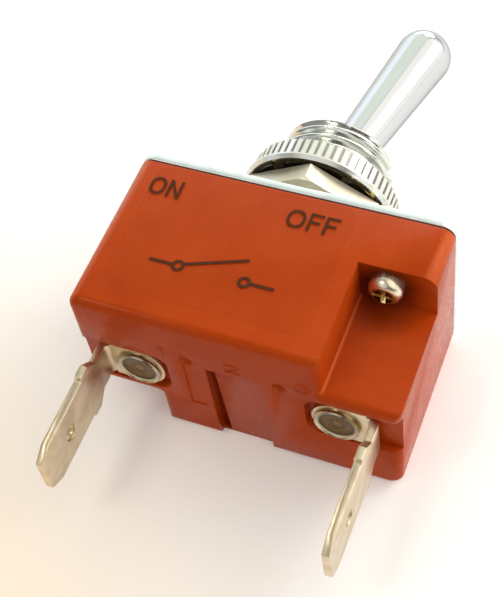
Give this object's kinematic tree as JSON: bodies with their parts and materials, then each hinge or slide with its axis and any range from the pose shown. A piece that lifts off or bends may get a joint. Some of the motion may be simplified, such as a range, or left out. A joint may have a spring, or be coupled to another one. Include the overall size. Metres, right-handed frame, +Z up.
{
  "type": "toggle switch",
  "caption": "Panel-mount toggle switch with a bat lever, threaded bushing with nuts, moulded case and push-on blade terminals.",
  "frame": {"origin": "at the panel seat: where the bushing's axis crosses the top face of the cover plate", "axes": "+Z up the bushing, towards the lever; X along the case, with terminal 1 and the ON mark at -X and terminal 3 and the OFF mark at +X; the labelled side faces -Y. At rest the lever leans 12 degrees to +X, which is OFF"},
  "size_m": [0.033, 0.0191, 0.0649],
  "materials": {
    "phenolic": "moulded phenolic, red-brown, semi-gloss",
    "insulation": "thin dark fibre sheet",
    "plated_steel": "bright zinc plate",
    "clear_film": "clear printed film",
    "nickelled_brass": "bright nickel plate",
    "spring_steel": "plated spring steel",
    "chrome": "polished chrome plate",
    "bare_brass": "turned brass",
    "copper": "stamped copper alloy",
    "silver": "silver contact face",
    "tinned_brass": "tin-plated brass, stamped edges",
    "rivet_brass": "dull plated brass",
    "nickelled_steel": "nickel plate"
  },
  "bodies": {
    "switch_body": {"case": "phenolic", "insulating_sheet": "insulation", "cover_plate": "plated_steel", "label_film": "clear_film", "bushing": "nickelled_brass", "hex_nut": "nickelled_brass", "lock_washer": "spring_steel", "ring_nut": "nickelled_brass", "fulcrum_bracket": "copper", "contact_strip": "copper", "fixed_contact": "silver", "terminal_1": "tinned_brass", "terminal_3": "tinned_brass", "rivet_1": "rivet_brass", "rivet_3": "rivet_brass", "screw_front": "nickelled_steel", "screw_rear": "nickelled_steel"},
    "lever": {"lever": "chrome", "plunger_spring": "spring_steel"},
    "plunger": {"plunger": "bare_brass"},
    "rocker": {"rocker": "copper", "rocker_contact": "silver"}
  },
  "joints": [
    {"name": "lever_tilt", "type": "hinge", "parent": "switch_body", "child": "lever", "pos_m": [0, 0, 0.0092], "axis": [0, -1, 0], "range_deg": [0, 24]},
    {"name": "rocker_rock", "type": "hinge", "parent": "switch_body", "child": "rocker", "pos_m": [0, 0, -0.00907], "axis": [0, 1, 0], "range_deg": [0, 13]},
    {"name": "plunger_slide", "type": "slide", "parent": "lever", "child": "plunger", "axis": [0.2079, 0, 0.9781], "range_m": [0, 0.0006], "stiffness_N_per_m": 800, "springref_m": -0.002, "deforming": ["plunger_spring"]}
  ],
  "couplings": [
    {"joint": "rocker_rock", "follows": "lever_tilt", "ratio": 0.54167}
  ]
}
